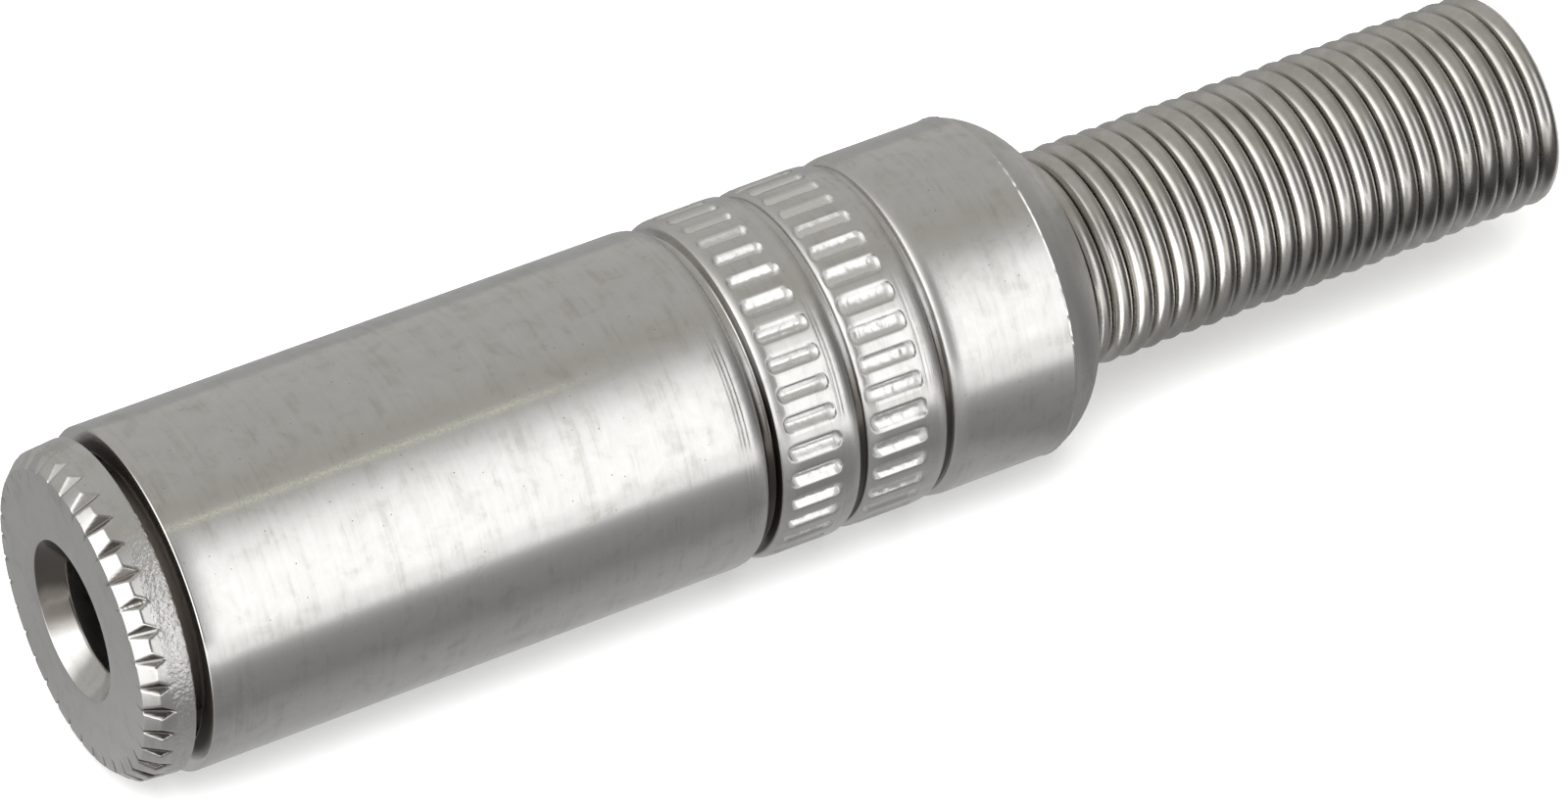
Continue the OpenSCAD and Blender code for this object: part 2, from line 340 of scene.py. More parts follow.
@dataclass(frozen=True)
class DrawnMetal:
    """Drawn or rolled metal with a fine grain and a dull oxide."""

    bright: Colour
    oxide: Colour
    tones: Range
    roughness: float
    oxide_roughness: float
    oxide_scale: float
    oxide_grain: float
    grain_scale: float
    grain_depth: float
    grain_stretch: float = 1.0

    def build(self, name: str) -> Material:
        """Makes the material.

        Args:
            name: Name of the material.

        Returns:
            The material.
        """
        material = bpy.data.materials.new(name)
        graph = NodeGraph(material)
        place = graph.millimetres()
        oxide = graph.noise(place, self.oxide_scale, 6.0, roughness=self.oxide_grain)
        drawn = graph.add("Mapping", {"Vector": place, "Scale": (self.grain_stretch, 1, 1)}).outputs[0]
        grain = graph.noise(drawn, self.grain_scale)
        colour = graph.ramp(oxide, list(zip(self.tones, (self.oxide, self.bright))))
        rough = graph.span(oxide, 0.35, 0.65, self.oxide_roughness, self.roughness)
        shader = graph.add("BsdfPrincipled", {
            "Base Color": colour, "Metallic": 1.0, "Roughness": rough,
            "Normal": graph.bump(grain, self.grain_depth)})
        graph.finish(shader)
        return material


SPRING_WIRE = DrawnMetal(
    bright=(0.60, 0.585, 0.56), oxide=(0.50, 0.48, 0.445), tones=(0.36, 0.62), roughness=0.22,
    oxide_roughness=0.32, oxide_scale=0.9, oxide_grain=0.65, grain_scale=30.0, grain_depth=0.0008)
STAMPED_BRASS = DrawnMetal(
    bright=(0.80, 0.63, 0.36), oxide=(0.58, 0.42, 0.22), tones=(0.34, 0.6), roughness=0.28,
    oxide_roughness=0.42, oxide_scale=1.1, oxide_grain=0.6, grain_scale=14.0, grain_depth=0.0012,
    grain_stretch=0.06)


@dataclass(frozen=True)
class MouldedPlastic:
    """Moulded plastic with a fine spark-eroded grain and soft flow marks."""

    deep: Colour
    pale: Colour
    roughness: float = 0.5
    rough_step: float = 0.06
    flow_scale: float = 0.5
    grain_scale: float = 12.0
    grain_depth: float = 0.006

    def build(self, name: str) -> Material:
        """Makes the material.

        Args:
            name: Name of the material.

        Returns:
            The material.
        """
        material = bpy.data.materials.new(name)
        graph = NodeGraph(material)
        place = graph.millimetres()
        flow = graph.noise(place, self.flow_scale, 4.0, distortion=1.2)
        grain = graph.noise(place, self.grain_scale)
        colour = graph.ramp(flow, [(0.35, self.deep), (0.65, self.pale)])
        rough = graph.span(grain, 0.3, 0.7, self.roughness - self.rough_step,
                           self.roughness + self.rough_step)
        shader = graph.add("BsdfPrincipled", {
            "Base Color": colour, "Roughness": rough, "Normal": graph.bump(grain, self.grain_depth)})
        graph.finish(shader)
        return material


@dataclass(frozen=True)
class PaleFloor:
    """Matt white studio board."""

    colour: Colour = (0.93, 0.93, 0.93)
    shade: Colour = (0.92, 0.92, 0.92)
    glow: float = 0.31
    cloud_scale: float = 0.02

    def build(self, name: str) -> Material:
        """Makes the material.

        Args:
            name: Name of the material.

        Returns:
            The material.
        """
        material = bpy.data.materials.new(name)
        graph = NodeGraph(material)
        place = graph.millimetres()
        colour = graph.ramp(graph.noise(place, self.cloud_scale), [(0.4, self.shade), (0.6, self.colour)])
        shader = graph.add("BsdfPrincipled", {
            "Base Color": colour, "Roughness": 0.9, "Specular IOR Level": 0.0})
        path = graph.add("LightPath")
        seen = path.outputs["Is Camera Ray"]
        for ray in ("Is Glossy Ray", "Is Transmission Ray"):
            seen = graph.math("MAXIMUM", seen, path.outputs[ray])
        level = graph.math("MULTIPLY", seen, self.glow)
        glow = graph.add("Emission", {"Color": (1, 1, 1, 1), "Strength": level})
        graph.finish(graph.add("AddShader", {0: shader.outputs[0], 1: glow.outputs[0]}))
        return material


@dataclass(frozen=True)
class ReflectedGround:
    """Ground as the metal mirrors it: bright far in front, dim close to the socket."""

    reach: float = 80.0
    stops: tuple[tuple[float, float], ...] = (
        (-60, 1.3), (-36, 1.15), (-26, 0.5), (-17, 0.33), (-9, 0.27), (-6, 0.4), (-2, 0.5), (4, 0.4),
        (30, 0.42))
    left_x: Range = (-36.0, -27.0)
    left_level: float = 1.2
    left_fade: Range = (-7.0, -3.5)
    rear_from: float = 4.0
    rear_slope: float = 1.2
    dark_x: Range = (8.5, 12.0)
    dark_slope: float = 0.5
    dark_level: float = 0.08
    dark_fade: Range = (-5.5, -3.0)

    def build(self, name: str) -> Material:
        """Makes the material.

        Args:
            name: Name of the material.

        Returns:
            The material, which glows by its place across the axis.
        """
        material = bpy.data.materials.new(name)
        graph = NodeGraph(material)
        place = graph.add("SeparateXYZ", {0: graph.millimetres()})
        across = place.outputs["Y"]
        behind = graph.math("MAXIMUM", graph.math("SUBTRACT", place.outputs["X"], self.rear_from), 0.0)
        along = graph.math("MULTIPLY_ADD", behind, -self.rear_slope, across)
        share = graph.span(along, -self.reach, self.reach, 0, 1)
        top = max(level for _, level in self.stops)
        colour = graph.ramp(share, [
            ((y + self.reach) / (2 * self.reach), (level / top,) * 3) for y, level in self.stops])
        past = graph.math(
            "MULTIPLY_ADD", graph.math("ABSOLUTE", across), -self.dark_slope, place.outputs["X"])
        end = graph.span(past, *self.dark_x, 0.0, 1.0 - self.dark_level)
        end = graph.math("MULTIPLY", end, graph.span(across, *self.dark_fade, 1.0, 0.0))
        level = graph.math("MULTIPLY", graph.math("SUBTRACT", 1.0, end), top)
        near = graph.add("Emission", {"Color": colour, "Strength": level})
        glow = graph.span(place.outputs["X"], *self.left_x, self.left_level, 0.0)
        glow = graph.math("MULTIPLY", glow, graph.span(across, *self.left_fade, 1.0, 0.0))
        left = graph.add("Emission", {"Color": (1, 1, 1, 1), "Strength": glow})
        graph.finish(graph.add("AddShader", {0: near.outputs[0], 1: left.outputs[0]}))
        return material


Rule = Callable[[Polar], Polar]
Measure = Callable[[Polar], float]


def repeat(bm: BMesh, first: list, places: Iterable[Matrix]) -> None:
    """Copies a part of a mesh to more places and joins the copies where they meet.

    Args:
        bm: Mesh that gets the copies.
        first: Vertices, edges and faces to copy.
        places: Matrix of each copy.
    """
    for place in places:
        copy = bmesh.ops.duplicate(bm, geom=first)["geom"]
        verts = [item for item in copy if isinstance(item, BMVert)]
        bmesh.ops.transform(bm, matrix=place, verts=verts)
    bmesh.ops.remove_doubles(bm, verts=list(bm.verts), dist=MERGE_DISTANCE)


class TurnedMesh:
    """Mesh that starts as an outline turned about the axis."""

    def __init__(self, corners: Sequence[Corner], rows: Callable[[float, float], float]) -> None:
        """Draws the outline.

        Args:
            corners: Station, radius and rounding of each corner, in order round the outline.
            rows: Gives the longest edge wanted at a station and radius.
        """
        self.bm = bmesh.new()
        verts = [self.bm.verts.new((s, 0, -r)) for s, r, _ in corners]
        self.bm.faces.new(verts)
        for size in sorted({c[2] for c in corners if c[2] > 0}):
            chosen = [v for v, c in zip(verts, corners) if c[2] == size]
            bmesh.ops.bevel(self.bm, geom=chosen, offset=size, affect="VERTICES",
                            segments=BEVEL_STEPS, profile=0.5, material=-1)
        bmesh.ops.delete(self.bm, geom=list(self.bm.faces), context="FACES_ONLY")
        by_cuts: dict[int, list] = {}
        for edge in self.bm.edges:
            middle = (edge.verts[0].co + edge.verts[1].co) / 2
            cuts = math.ceil(edge.calc_length() / rows(middle.x, -middle.z)) - 1
            by_cuts.setdefault(cuts, []).append(edge)
        for cuts, edges in by_cuts.items():
            if cuts > 0:
                bmesh.ops.subdivide_edges(self.bm, edges=edges, cuts=cuts)

    def spin(self, sectors: int, columns: int) -> None:
        """Turns the outline through one sector and repeats it all the way round.

        Args:
            sectors: Number of equal sectors.
            columns: Number of faces across a sector.
        """
        turn = math.tau / sectors
        bmesh.ops.spin(self.bm, geom=list(self.bm.verts) + list(self.bm.edges), cent=(0, 0, 0),
                       axis=(1, 0, 0), angle=turn, steps=columns)
        first = list(self.bm.verts) + list(self.bm.edges) + list(self.bm.faces)
        repeat(self.bm, first, [Matrix.Rotation(turn * i, 4, "X") for i in range(1, sectors)])
        bmesh.ops.recalc_face_normals(self.bm, faces=list(self.bm.faces))

    def work(self, turn: Rule, paints: dict[str, Measure], cut: Rule) -> None:
        """Turns, paints and cuts every vertex by rules given in polar places.

        Args:
            turn: Rule that moves the places before they are painted.
            paints: Rule for each float attribute.
            cut: Rule that moves the places at last.
        """
        for name in paints:
            self.bm.verts.layers.float.new(name)
        rules = [(self.bm.verts.layers.float[name], rule) for name, rule in paints.items()]
        for vert in self.bm.verts:
            place = turn(Polar.of(vert.co))
            for layer, rule in rules:
                vert[layer] = rule(place)
            vert.co = cut(place).point()


def finish_piece(bm: BMesh, name: str, axis: Axis, material: Material,
                 crease: float) -> Object:
    """Brings a mesh to the frame, shades it and makes its object.

    Args:
        bm: Mesh in millimetres about the axis. It is used up.
        name: Name of the piece.
        axis: Place of the axis.
        material: Finish of the piece.
        crease: Angle in degrees above which an edge stays sharp.

    Returns:
        The new object.
    """
    for face in bm.faces:
        face.smooth = True
    for edge in bm.edges:
        edge.smooth = not edge.is_manifold or edge.calc_face_angle(0.0) < math.radians(crease)
    bmesh.ops.transform(bm, matrix=axis.matrix(), verts=list(bm.verts))
    mesh = bpy.data.meshes.new(name)
    bm.to_mesh(mesh)
    bm.free()
    piece = bpy.data.objects.new(name, mesh)
    bpy.context.scene.collection.objects.link(piece)
    piece.data.materials.append(material)
    return piece


def even_shading(piece: Object) -> None:
    """Lets large faces set the shading beside small bevels."""
    modifier = piece.modifiers.new("even_shading", "WEIGHTED_NORMAL")
    modifier.keep_sharp = True


@dataclass
class Nose:
    """Turned nose: notched rim, countersunk mouth and threaded shank."""

    axis: Axis
    finish: NickelPlate
    face_r: float = 4.4
    rim_r: float = 4.77
    rim_l: float = 0.4
    flange_r: float = 4.85
    flange_l: float = 1.4
    mouth_r: float = 2.35
    countersink_l: float = 0.73
    bore_r: float = 1.8
    bore_l: float = 4.0
    counterbore_r: float = 2.65
    relief_r: float = 3.5
    shank_r: float = 3.95
    shank_z: float = 2.4
    shank_end: float = 7.0
    lead: float = 0.3
    thread_pitch: float = 0.75
    thread_depth: float = 0.36
    thread_run_in: float = 0.2
    thread_slope: float = 1.25
    thread_crest: float = 0.15
    thread_rows: int = 8
    notch_count: int = 36
    notch_turn: float = -1.8
    notch_start_r: float = 4.32
    notch_l: float = 0.8
    notch_end_r: float = 4.8
    notch_reach: float = 0.2
    upper_spread: float = 0.6545
    lower_spread: float = 1.078
    notch_blend: float = 0.012
    notch_jitter: float = 0.02
    notch_rows: float = 0.034
    plain_rows: float = 0.4
    turned: float = 0.12
    speckle_z: Range = (0.6, 0.85)
    speckle_angle: float = 258.0
    speckle_facing: Range = (0.1875, 0.8125)
    speckle_levels: Range = (0.2, 0.95)
    # Radii over which the painted shade in the relief groove's gap fades in.
    gap_shade_r: Range = (4.75, 4.5)
    # Painted dark reflection on one side of the mouth, and painted shade in the notches.
    painted_shade_level: float = 0.92
    mouth_shade_angle: float = 98.0
    mouth_shade_off: Range = (70.0, 42.0)
    notch_shade_angle: float = 260.0
    notch_shade_facing: Range = (-0.05, 0.55)
    notch_shade_depth: float = 0.05
    both_walls: Range = (243.0, 255.0)
    crease: float = 26.0
    columns: int = 16
    seed: int = 5
    jitter: list[float] = field(default_factory=list)

    def corners(self) -> list[Corner]:
        """Draws the nose's section.

        Returns:
            Its corners, in order round it.
        """
        return [
            (0, self.mouth_r, 0.05), (0, self.face_r, 0.03), (self.rim_l, self.rim_r, 0.04),
            (self.flange_l, self.flange_r, 0.1), (self.flange_l, self.relief_r, 0.05),
            (self.shank_z, self.relief_r, 0.05), (self.shank_z, self.shank_r, 0.05),
            (self.shank_end - self.lead, self.shank_r, 0.03),
            (self.shank_end, self.shank_r - self.lead, 0.03),
            (self.shank_end, self.counterbore_r, 0.03), (self.bore_l, self.counterbore_r, 0),
            (self.bore_l, self.bore_r, 0.03), (self.countersink_l, self.bore_r, 0.05)]

    def rows(self, station: float, radius: float) -> float:
        """Tells how finely the section is divided.

        Args:
            station: Station of the place.
            radius: Radius of the place.

        Returns:
            The longest edge at the place.
        """
        if station < self.notch_l + self.notch_reach and radius > self.notch_start_r - 0.1:
            return self.notch_rows
        if self.shank_z < station < self.shank_end and radius > self.relief_r:
            return self.thread_pitch / self.thread_rows
        return self.plain_rows

    def notch(self, place: Polar) -> tuple[float, float]:
        """Measures the V-notch at a place. Its upper wall is the flatter one.

        Args:
            place: Place on the turned nose.

        Returns:
            How far the place is pushed down, at most 0, and how far it lies below the notch's
            lowest line.
        """
        if place.station > self.notch_l + self.notch_reach or place.radius < self.notch_start_r - 0.15:
            return 0.0, 0.0
        pitch = 360 / self.notch_count
        number = round((place.angle - self.notch_turn) / pitch)
        offset = math.radians(place.angle - self.notch_turn - number * pitch) * place.radius
        height = Vector((place.station, place.radius - self.notch_start_r)).dot(self.outward())
        spread = self.upper_spread if offset < 0 else self.lower_spread
        floor = abs(offset) * spread - self.jitter[number % self.notch_count]
        return soft_min(0.0, floor - height, self.notch_blend), offset

    def outward(self) -> Vector:
        """Returns the direction in station and radius that the notches are pressed against."""
        run = Vector((self.notch_l, self.notch_end_r - self.notch_start_r)).normalized()
        return Vector((-run.y, run.x))

    def notched(self, place: Polar) -> Polar:
        """Pushes a place down to the V-notch that it lies in.

        Args:
            place: Place on the turned nose.

        Returns:
            The place on the notched rim.
        """
        moved = Vector((place.station, place.radius)) + self.outward() * self.notch(place)[0]
        return Polar(moved.x, moved.y, place.angle)

    def threaded(self, place: Polar) -> Polar:
        """Cuts the screw thread into a place on the shank.

        Args:
            place: Place on the nose.

        Returns:
            The place on the thread.
        """
        if not place.within(self.shank_z, self.shank_end, self.shank_r - self.lead - 0.01):
            return place
        phase = (place.station / self.thread_pitch - place.angle / 360) % 1
        groove = 1 - abs(2 * phase - 1)
        share = min(1.0, max(0.0, self.thread_slope * groove - self.thread_crest))
        fade = smooth_step(place.station, self.shank_z, self.shank_z + self.thread_run_in)
        root = self.shank_r - self.thread_depth * share * fade
        return Polar(place.station, min(place.radius, root), place.angle)

    def build(self) -> Object:
        """Builds and dresses the nose.

        Returns:
            The piece.
        """
        draw = random.Random(self.seed)
        self.jitter = [
            draw.uniform(-self.notch_jitter, self.notch_jitter) for _ in range(self.notch_count)]
        turned = TurnedMesh(self.corners(), self.rows)
        turned.spin(self.notch_count, self.columns)
        # Two of the paints lay painted shade: in the relief groove's gap, and in the mouth and the
        # notches.
        turned.work(lambda p: Polar(p.station, p.radius, p.angle + self.notch_turn),
                    {"turned": lambda p: self.turned if p.station > 0.02 else 0.0,
                     "knurl": self.speckle, "painted_gap_shade": self.painted_gap_shade, "painted_shade": self.painted_shade},
                    lambda p: self.threaded(self.notched(p)))
        material = self.finish.build("nickel_nose")
        piece = finish_piece(turned.bm, "nose", self.axis, material, self.crease)
        even_shading(piece)
        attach(piece, Body.SOCKET.value)
        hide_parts("front_bush")
        return piece

    def speckle(self, place: Polar) -> float:
        """Tells how rough the plate is: most on the front of the flange.

        Args:
            place: Place on the turned nose.

        Returns:
            Share of the full roughness.
        """
        if not place.within(self.rim_l, self.flange_l, self.rim_r - 0.1):
            return 0.0
        least, most = self.speckle_levels
        side = smooth_step(place.facing(self.speckle_angle), *self.speckle_facing)
        return smooth_step(place.station, *self.speckle_z) * (least + (most - least) * side)

    def painted_gap_shade(self, place: Polar) -> float:
        """Returns how much painted shade browns the plate at a place: fully in the relief groove."""
        inside = place.within(self.flange_l - 0.02, self.shank_z + 0.02, self.relief_r - 0.1)
        return smooth_step(place.radius, *self.gap_shade_r) if inside else 0.0

    def painted_shade(self, place: Polar) -> float:
        """Tells how much painted shade darkens the plate: a painted dark reflection on one side of the
        mouth, and painted shade in the notches.

        Args:
            place: Place on the turned nose.

        Returns:
            Share of the painted shade.
        """
        if 0.02 < place.station < self.countersink_l + 0.05 and place.radius < self.mouth_r:
            off = abs(place.angle - self.mouth_shade_angle)
            return self.painted_shade_level * smooth_step(off, *self.mouth_shade_off)
        drop, offset = self.notch(place)
        side = smooth_step(place.facing(self.notch_shade_angle), *self.notch_shade_facing)
        below = smooth_step(place.angle % 360, *self.both_walls) if offset > 0 else 1.0
        return self.painted_shade_level * side * below * smooth_step(-drop, 0.0, self.notch_shade_depth)


@dataclass(frozen=True)
class SlotRow:
    """Row of knurling slots on one ring."""

    start: float
    end: float
    depth: float
    bend: float
    margin: float = 0.1

    def near(self, station: float) -> bool:
        """Returns whether a station lies in the row or close beside it."""
        return self.start - self.margin < station < self.end + self.margin


@dataclass(frozen=True)
class WornEdge:
    """Rounded edge beside a groove. Its width is below 0 where it falls to the rear."""

    station: float
    radius: float
    width: float
    drop: float
    wear: float = 0.012
    fade: Range = (1.3, 0.3)
    turns: tuple[float, ...] = (0, 8, 17, 28, 40, 54, 71, 90)

    def corners(self) -> list[Corner]:
        """Rounds the edge, with slight turning wear.

        Returns:
            Corners of the rounding, in order along the axis.
        """
        draw = random.Random(round(self.station * 100))
        corners: list[Corner] = []
        for turn in map(math.radians, self.turns):
            fall = self.drop * (1 - math.sin(turn)) + draw.uniform(0, self.wear)
            corners.append((self.station + self.width * (1 - math.cos(turn)), self.radius - fall, 0.0))
        return corners if self.width > 0 else corners[::-1]

    def shown(self, station: float) -> float:
        """Returns how plainly the wear shows: fully near the groove, then less and less."""
        share = (station - self.station) / self.width
        return smooth_step(share, *self.fade) if share > -0.01 else 0.0


@dataclass
class Barrel:
    """Turned sleeve with two knurled rings and a rounded shoulder."""

    axis: Axis
    finish: NickelPlate
    front_z: float = 1.8
    front_r: float = 5.0
    groove1_z: float = 19.06
    groove1_r: float = 4.6
    ring_r: float = 5.03
    ring1_z: float = 19.47
    ring1_end: float = 21.95
    groove_r: float = 4.79
    ring2_z: float = 22.2
    ring2_end: float = 24.73
    rear_z: float = 24.97
    rear_r: float = 5.06
    shoulder_z: float = 28.87
    end_z: float = 30.5
    shoulder_end_r: float = 3.45
    shoulder_curve: float = 2.6
    hole_r: float = 3.35
    cavity_r: float = 4.1
    cavity_z: float = 7.4
    cavity_end: float = 28.2
    bore_r: float = 4.0
    slot_count: int = 36
    slot_turn: float = -3.6
    slot_share: float = 0.57
    slot_end: float = 0.13
    slot_wide: Range = (0.92, 1.04)
    slot_shift: Range = (-0.02, 0.03)
    slot_long: Range = (-0.03, 0.03)
    slot_reach: float = 0.12
    edge_satin: float = 0.6
    end_satin: float = 0.15
    crease: float = 16.0
    columns: int = 12
    column_stops: tuple[Range, ...] = ((2, 0.62), (3, 0.9), (4, 1.12))
    slot_rows: float = 0.055
    inner_rows: float = 3.0
    plain_rows: float = 1.0
    rows_of_slots: tuple[SlotRow, ...] = (
        SlotRow(19.72, 21.27, 0.2, 1.2), SlotRow(22.31, 24.03, 0.13, 3.0))
    burr_z: float = 28.835
    burr_h: float = 0.04
    burr_rise: float = 16.0
    burr_level: float = 0.7
    burr_change: float = 0.5
    burr_scale: float = 0.6
    ripple_step: float = 0.12
    ripple_depths: Range = (0.002, 0.008)
    ripple_floor: Range = (0.045, 0.07)
    rough_floor: float = 0.022
    rough_scale: float = 6.0
    slot_roughness: float = 0.2
    bare_depth: float = 0.625
    # Painted shade in the grooves, darkest low in front.
    shade_angle: float = 295.0
    shade_facing: Range = (0.2, 0.7)
    shade_levels: Range = (0.05, 0.95)
    shade_r: Range = (4.9, 4.8)
    turning_front: float = 0.07
    turning_strips: float = 1.8
    turning_slots: float = 0.1
    turning_rear: float = 0.16
    turning_shoulder: float = 0.5
    streak_angle: float = 209.5
    streak_width: float = 2.0
    streak_z: Range = (16.0, 12.0)
    streak_r: Range = (4.9, 4.95)
    seed: int = 11
    jitter: dict[tuple[int, int], Triple] = field(default_factory=dict)

    def shoulder(self, count: int = 12) -> list[Corner]:
        """Returns points on the round shoulder.

        Args:
            count: Number of straight stretches.

        Returns:
            Corners from the rear part to the end face.
        """
        start = Vector((self.shoulder_z, self.rear_r))
        stop = Vector((self.end_z, self.shoulder_end_r))
        half = (stop - start) / 2
        out = Vector((half.y, -half.x)).normalized()
        centre = start + half + out * math.sqrt(self.shoulder_curve ** 2 - half.length_squared)
        first, last = (math.atan2(p.y - centre.y, p.x - centre.x) for p in (start, stop))
        turns = (first + (last - first) * i / count for i in range(count + 1))
        return [(centre.x + self.shoulder_curve * math.cos(a),
                 centre.y + self.shoulder_curve * math.sin(a), 0.0) for a in turns]

    def ripples(self, start: float, count: int, radius: float) -> list[Corner]:
        """Returns the corners of a few plain turning grooves side by side.

        Args:
            start: Station of the first groove.
            count: Number of grooves.
            radius: Radius between the grooves.

        Returns:
            Corners in order along the axis.
        """
        draw = random.Random(round(start * 100))
        corners: list[Corner] = []
        for i in range(count):
            place = start + self.ripple_step * i + draw.uniform(0, self.ripple_step / 4)
            depth = draw.uniform(*self.ripple_depths)
            floor = ((place + step, radius - depth, 0.0) for step in self.ripple_floor)
            corners += [(place, radius, 0.0), *floor]
        return corners

    @cached_property
    def worn_edges(self) -> tuple[WornEdge, ...]:
        """Lists the worn edges beside the grooves.

        Returns:
            The edges, from the front part to the rear part.
        """
        return (
            WornEdge(self.groove1_z, self.front_r, -0.4, 0.18),
            WornEdge(self.ring1_z, self.ring_r, 0.5, 0.24),
            WornEdge(self.ring1_end, self.ring_r, -0.33, 0.14),
            WornEdge(self.ring2_z, self.ring_r, 0.45, 0.2),
            WornEdge(self.ring2_end, self.ring_r, -0.33, 0.14),
            WornEdge(self.rear_z, self.rear_r, 0.45, 0.2))

    def corners(self) -> list[Corner]:
        """Draws the sleeve's section.

        Returns:
            Its corners, in order round it.
        """
        front, ring1, ring1_rear, ring2, ring2_rear, rear = (edge.corners() for edge in self.worn_edges)
        return [
            (self.cavity_z, self.bore_r, 0), (self.front_z + 0.3, self.bore_r, 0),
            (self.front_z, self.bore_r + 0.3, 0.03), (self.front_z, self.front_r, 0.07),
            (self.groove1_z - 0.78, self.front_r, 0.01),
            *self.ripples(self.groove1_z - 0.76, 3, self.front_r), *front,
            (self.groove1_z + 0.1, self.groove1_r, 0.08), (self.ring1_z - 0.06, self.groove1_r, 0.06),
            *ring1, *self.ripples(self.ring1_end - 0.57, 2, self.ring_r), *ring1_rear,
            (self.ring1_end + 0.05, self.groove_r, 0.02), (self.ring2_z - 0.02, self.groove_r, 0.02),
            *ring2, *self.ripples(self.ring2_end - 0.6, 2, self.ring_r), *ring2_rear,
            (self.ring2_end + 0.05, self.groove_r, 0.02), (self.rear_z - 0.04, self.groove_r, 0.02),
            *rear, (self.shoulder_z - 0.075, self.rear_r, 0.0),
            (self.burr_z, self.rear_r + self.burr_h, 0.0), *self.shoulder(),
            (self.end_z, self.hole_r, 0.03), (self.cavity_end, self.hole_r, 0),
            (self.cavity_end, self.cavity_r, 0), (self.cavity_z, self.cavity_r, 0)]

    def rows(self, station: float, radius: float) -> float:
        """Tells how finely the section is divided.

        Args:
            station: Station of the place.
            radius: Radius of the place.

        Returns:
            The longest edge at the place.
        """
        if radius < self.ring_r - self.slot_reach:
            return self.inner_rows
        in_slots = any(row.near(station) for row in self.rows_of_slots)
        return self.slot_rows if in_slots else self.plain_rows

    def aligned(self, place: Polar) -> Polar:
        """Slides the columns of faces round to the edges of the slots.

        Args:
            place: Place on the turned sleeve.

        Returns:
            The place at its new angle.
        """
        pitch = 360 / self.slot_count
        number = round(place.angle / pitch)
        share = place.angle / pitch - number
        edge = self.slot_share / 2
        moved = [(column / self.columns, edge * part) for column, part in self.column_stops]
        stops = [(0.0, 0.0), *moved, (0.5, 0.5)]
        size = abs(share)
        for (a, b), (c, d) in zip(stops, stops[1:]):
            if size <= c + 1e-9:
                size = b + (d - b) * (size - a) / (c - a)
                break
        turned = number + math.copysign(size, share)
        return Polar(place.station, place.radius, turned * pitch + self.slot_turn)

    def slot_depth(self, place: Polar) -> float:
        """Returns how deep a slot is cut at a place.

        Args:
            place: Place on the turned sleeve.

        Returns:
            Depth as a share of the full depth of its row, and 0 outside the slots.
        """
        if place.radius < self.ring_r - self.slot_reach:
            return 0.0
        pitch = 360 / self.slot_count
        number = round((place.angle - self.slot_turn) / pitch)
        share = (place.angle - self.slot_turn) / pitch - number
        for index, row in enumerate(self.rows_of_slots):
            if not row.near(place.station):
                continue
            wide, shift, long = self.jitter[index, number % self.slot_count]
            inside = min(place.station - row.start - shift, row.end + long - place.station)
            if inside > 0:
                narrow = math.sqrt(1 - (1 - min(1.0, inside / self.slot_end)) ** 2)
                across = 1 - (abs(share) / (self.slot_share / 2 * wide * narrow)) ** row.bend
                return max(0.0, across * narrow)
        return 0.0

    def slotted(self, place: Polar) -> Polar:
        """Sinks a place into its slot, with a rough floor, or wears the burr of the shoulder.

        Args:
            place: Place on the turned sleeve.

        Returns:
            The place on the knurled ring.
        """
        if place.radius > self.rear_r + 0.5 * self.burr_h:
            worn = min(1.0, self.burr_rise * (1 - place.facing(0)))
            change = self.burr_change * noise.noise(Vector((place.angle * self.burr_scale, 0, 0)))
            left = self.burr_h * worn * (self.burr_level + change)
            return Polar(place.station, self.rear_r + left, place.angle)
        share = self.slot_depth(place)
        if share <= 0:
            return place
        row = self.rows_of_slots[0 if place.station < self.ring1_end else 1]
        rough = self.rough_floor * share * noise.noise(place.point() * self.rough_scale)
        return Polar(place.station, place.radius - share * row.depth + rough, place.angle)

    def painted_shade(self, place: Polar) -> float:
        """Tells how much painted shade darkens the plate: in the grooves, most so low in front.

        Args:
            place: Place on the turned sleeve.

        Returns:
            Share of the painted shade.
        """
        if not place.within(self.groove1_z - 0.1, self.rear_z + 0.1, self.groove1_r - 0.1):
            return 0.0
        least, most = self.shade_levels
        side = smooth_step(place.facing(self.shade_angle), *self.shade_facing)
        return (least + (most - least) * side) * smooth_step(place.radius, *self.shade_r)

    def roughened(self, place: Polar) -> float:
        """Returns how rough the plate is at a place: in the slots."""
        return self.slot_roughness * min(1.0, 2 * self.slot_depth(place))

    def bare(self, place: Polar) -> float:
        """Returns how fresh the pressed metal is at a place: on the floors of the slots."""
        return smooth_step(self.slot_depth(place), 0.0, self.bare_depth)

    def satin(self, place: Polar) -> float:
        """Tells how matt the plate is: on the shoulder, at worn edges and at the ends of the slots.

        Args:
            place: Place on the turned sleeve.

        Returns:
            Share of the matt finish.
        """
        if place.station > self.shoulder_z - 0.02:
            return 1.0
        worn = max(edge.shown(place.station) for edge in self.worn_edges)
        if worn > 0 and self.slot_depth(place) <= 0:
            return self.edge_satin * worn
        sides = [Polar(place.station + step, place.radius, place.angle)
                 for step in (-self.end_satin, self.end_satin)]
        at_end = self.slot_depth(place) > 0 and min(self.slot_depth(side) for side in sides) <= 0
        return 1.0 if at_end else 0.0

    def streak(self, place: Polar) -> float:
        """Tells how plainly the pale drawing line along the front part shows.

        Args:
            place: Place on the turned sleeve.

        Returns:
            Share of the pale line.
        """
        off = abs(place.angle - self.streak_angle) / self.streak_width
        fade = smooth_step(place.station, *self.streak_z) * smooth_step(place.radius, *self.streak_r)
        return fade * max(0.0, 1 - off)

    def turning(self, place: Polar) -> float:
        """Tells how plainly the turning lines show.

        Args:
            place: Place on the turned sleeve.

        Returns:
            Strength of the lines.
        """
        if place.station < self.groove1_z - 0.9:
            return self.turning_front
        if place.station > self.shoulder_z:
            return self.turning_shoulder
        if any(row.start < place.station < row.end for row in self.rows_of_slots):
            return self.turning_slots
        return self.turning_rear if place.station > self.rear_z + 0.5 else self.turning_strips

